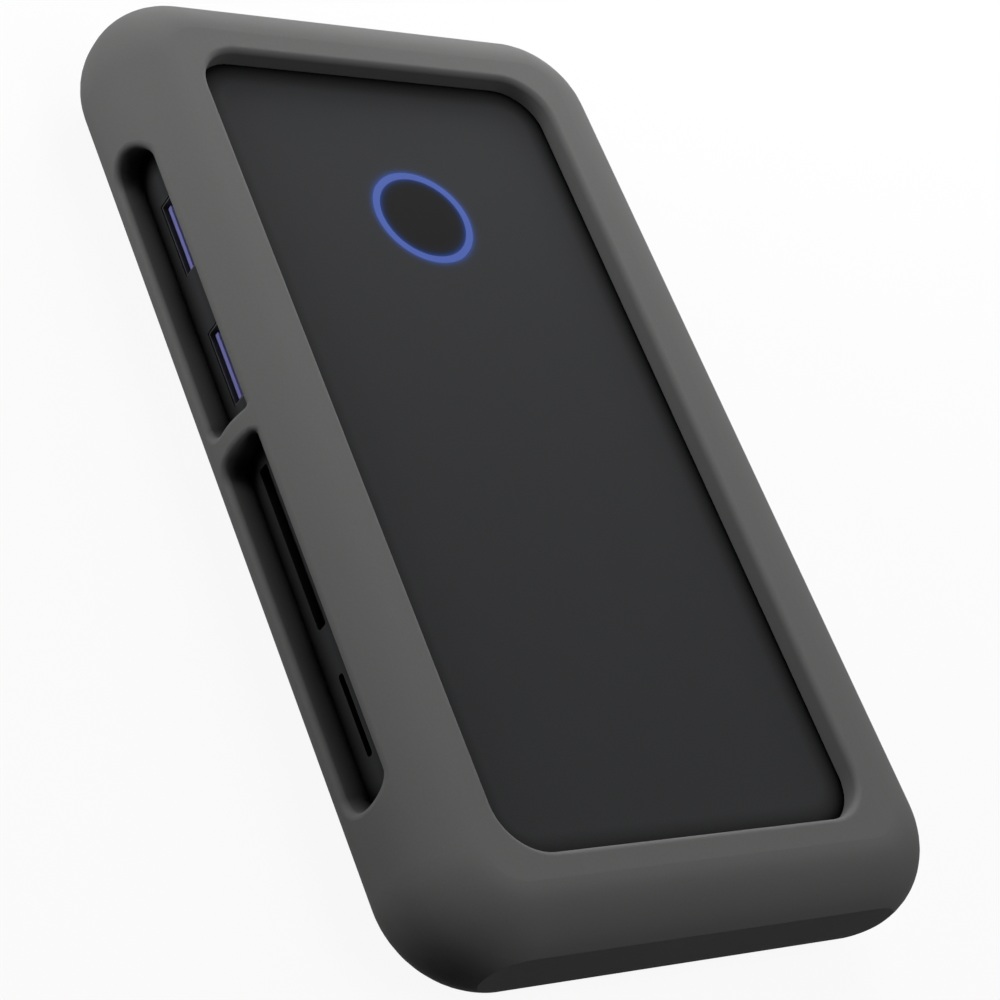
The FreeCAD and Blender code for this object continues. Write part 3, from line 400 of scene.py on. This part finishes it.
def make_screws(node, tree):
    """Screws that stand for one CAD node."""
    head_radius, head_height = SCREW_HEADS[node]
    points, height = screw_points(node, head_radius)
    mesh = bpy.data.meshes.new(node + "_points")
    mesh.from_pydata(points, [], [])
    seed = bpy.data.objects.new(node + "_points", mesh)
    bpy.context.scene.collection.objects.link(seed)
    modifier = seed.modifiers.new("screws", "NODES")
    modifier.node_group = tree
    sizes = {"Head Radius": head_radius, "Head Height": head_height, "Length": height - head_height,
             "Thread Radius": THREAD_RADIUS, "Thread Depth": THREAD_DEPTH, "Pitch": THREAD_PITCH}
    for socket in tree.interface.items_tree:
        if socket.name in sizes:
            modifier[socket.identifier] = sizes[socket.name]
    seen = seed.evaluated_get(bpy.context.evaluated_depsgraph_get())
    screws = bpy.data.objects.new(node + "_threaded", bpy.data.meshes.new_from_object(seen))
    bpy.context.scene.collection.objects.link(screws)
    bpy.data.objects.remove(seed)
    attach(screws, "root")
    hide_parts(node)


def fit_screws():
    """All screws, and the standoff of the drive in the same steel."""
    steel = grained("screw_steel", dark=(0.36, 0.36, 0.37), pale=(0.44, 0.44, 0.45),
                    grain=SMALL_PART_GRAIN, depth=0.002 * MM, roughness=0.36, gloss=0.5, Metallic=1.0)
    dress(["drive_standoff", *SCREW_HEADS], steel)
    tree = screw_tree(steel)
    for node in SCREW_HEADS:
        make_screws(node, tree)


# Studio

def seen_rays(sketch):
    """1 for camera, glossy and transmission rays, 0 for the rays that only carry light."""
    camera, glossy, transmission = (sketch.node("ShaderNodeLightPath", output="Is %s Ray" % kind)
                                    for kind in ("Camera", "Glossy", "Transmission"))
    return camera.maths("MAXIMUM", glossy).maths("MAXIMUM", transmission)


def make_world():
    """White to look at, and dark as light: the lamps alone light the object."""
    world = bpy.data.worlds.new("studio")
    bpy.context.scene.world = world
    world.use_nodes = True
    world.node_tree.nodes.clear()
    sketch = Sketch(world.node_tree)
    dark, white = (sketch.node("ShaderNodeBackground", inputs={"Color": colour, "Strength": 1.0})
                   for colour in (BLACK, WHITE))
    mixed = sketch.node("ShaderNodeMixShader", inputs={0: seen_rays(sketch), 1: dark, 2: white})
    sketch.node("ShaderNodeOutputWorld", inputs={"Surface": mixed})


def make_floor():
    """Pale floor under the sleeve: mostly white to look at, with the soft shadow of the object."""
    reach = FLOOR_SIDE / 2
    corners = [(-reach, -reach, 0), (reach, -reach, 0), (reach, reach, 0), (-reach, reach, 0)]
    mesh = bpy.data.meshes.new("floor")
    mesh.from_pydata(corners, [], [(0, 1, 2, 3)])
    floor = bpy.data.objects.new("floor", mesh)
    bpy.context.scene.collection.objects.link(floor)
    material = bpy.data.materials.new("floor_paper")
    material.use_nodes = True
    material.node_tree.nodes.clear()
    sketch = Sketch(material.node_tree)
    paper, dim_paper = (sketch.node("ShaderNodeBsdfDiffuse", inputs={"Color": rgba(shade, shade, shade)})
                        for shade in (SEEN_PAPER, DIM_PAPER))
    glow = sketch.node("ShaderNodeEmission", inputs={"Color": WHITE, "Strength": 1.0})
    seen = sketch.node("ShaderNodeMixShader", inputs={0: FLOOR_WHITE, 1: paper, 2: glow})
    mixed = sketch.node("ShaderNodeMixShader", inputs={0: seen_rays(sketch), 1: dim_paper, 2: seen})
    sketch.node("ShaderNodeOutputMaterial", inputs={"Surface": mixed})
    mesh.materials.append(material)


def make_lamp(name, bearing, height, distance, width, length, watts):
    """Soft lamp that points at the middle of the underside."""
    data = bpy.data.lights.new(name, "AREA")
    data.shape = "RECTANGLE"
    data.size = width
    data.size_y = length
    data.energy = watts
    lamp = bpy.data.objects.new(name, data)
    bpy.context.scene.collection.objects.link(lamp)
    lamp.visible_camera = False
    bearing, height = math.radians(bearing), math.radians(height)
    away = Vector((math.sin(bearing) * math.cos(height), math.cos(bearing) * math.cos(height),
                   math.sin(height)))
    lamp.location = away * distance
    lamp.rotation_mode = "QUATERNION"
    lamp.rotation_quaternion = away.to_track_quat("Z", "Y")


def make_camera():
    """Camera of the photograph, rolled as the picture is."""
    data = bpy.data.cameras.new("camera")
    data.sensor_width = SENSOR_MM
    data.lens = FOCAL_PX * SENSOR_MM / PHOTO_SIDE_PX
    data.clip_start = CAMERA_CLIP
    camera = bpy.data.objects.new("camera", data)
    bpy.context.scene.collection.objects.link(camera)
    camera.location = CAMERA_PLACE
    camera.rotation_mode = "QUATERNION"
    level = (CAMERA_TARGET - CAMERA_PLACE).to_track_quat("-Z", "Y")
    camera.rotation_quaternion = level @ Quaternion((0, 0, 1), CAMERA_ROLL)
    bpy.context.scene.camera = camera


def make_studio():
    """World, floor, lamps and camera."""
    make_world()
    make_floor()
    for name, lamp in LAMPS.items():
        make_lamp(name, *lamp)
    bpy.context.scene.view_settings.view_transform = "Standard"
    make_camera()


dress_outside()
dress_ring()
dress_sockets()
dress_board()
fit_screws()
make_studio()
